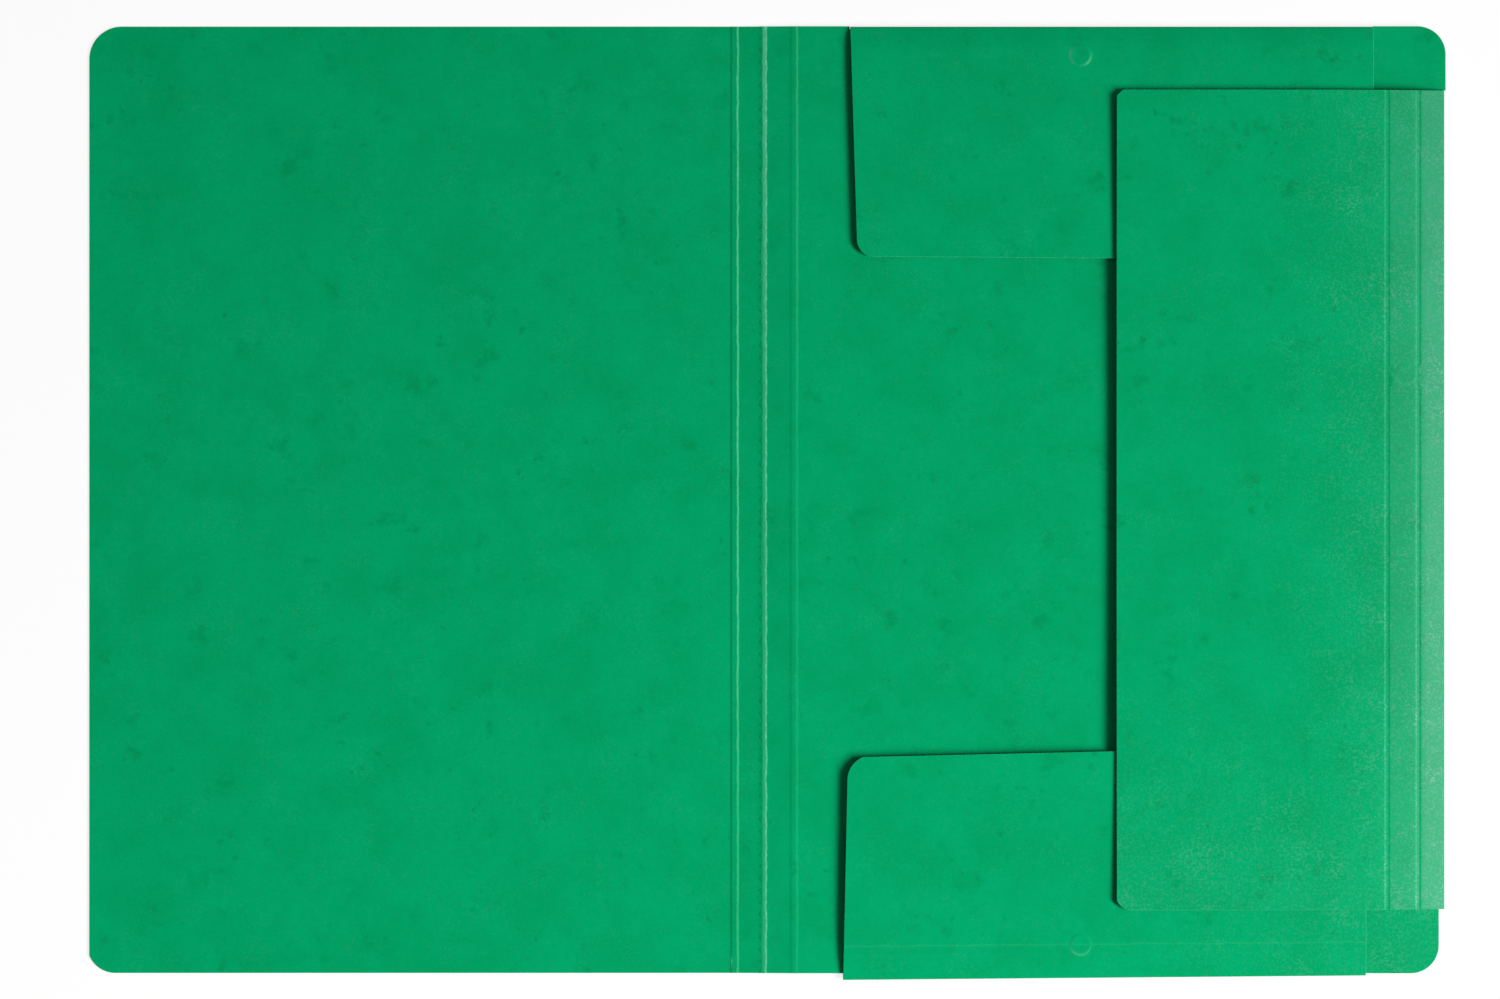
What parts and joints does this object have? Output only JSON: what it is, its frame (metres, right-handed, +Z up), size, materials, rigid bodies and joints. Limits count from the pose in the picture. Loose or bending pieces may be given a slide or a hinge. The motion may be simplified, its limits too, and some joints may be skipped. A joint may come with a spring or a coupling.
{
  "type": "elastic folder",
  "caption": "Flat A4 document folder of green marbled pressboard, open, with a creased spine, folded-in end flaps, an overlapping side flap and corner elastics on its outer side.",
  "frame": {"origin": "middle of the spine's width and of the folder's height, on the table that the open folder lies on", "axes": "+X from the spine to the fore-edge of the back cover, +Y to the head of the folder, +Z up from the table, towards the inner side of the covers"},
  "size_m": [0.4585, 0.3222, 0.0066],
  "materials": {
    "board": "glazed marbled pressboard",
    "elastic": "flat woven elastic",
    "eyelet_metal": "nickelled"
  },
  "bodies": {
    "back": {"back_cover": "board", "elastic_upper": "elastic", "elastic_lower": "elastic", "eyelet_upper_edge": "eyelet_metal", "eyelet_upper_side": "eyelet_metal", "eyelet_lower_edge": "eyelet_metal", "eyelet_lower_side": "eyelet_metal"},
    "spine": {"spine": "board"},
    "front": {"front_cover": "board"},
    "side_flap": {"side_flap": "board"}
  },
  "joints": [
    {"name": "spine_fold", "type": "hinge", "parent": "back", "child": "spine", "pos_m": [0.01005, 0, 0.00195], "axis": [0, 1, 0], "range_deg": [0, 93.4]},
    {"name": "front_fold", "type": "hinge", "parent": "spine", "child": "front", "pos_m": [-0.01001, 0, 0.00075], "axis": [0, 1, 0], "range_deg": [0, 86.6]},
    {"name": "side_flap_fold", "type": "hinge", "parent": "back", "child": "side_flap", "pos_m": [0.229, 0, 0.00195], "axis": [0, 1, 0], "range_deg": [0, 170]}
  ]
}
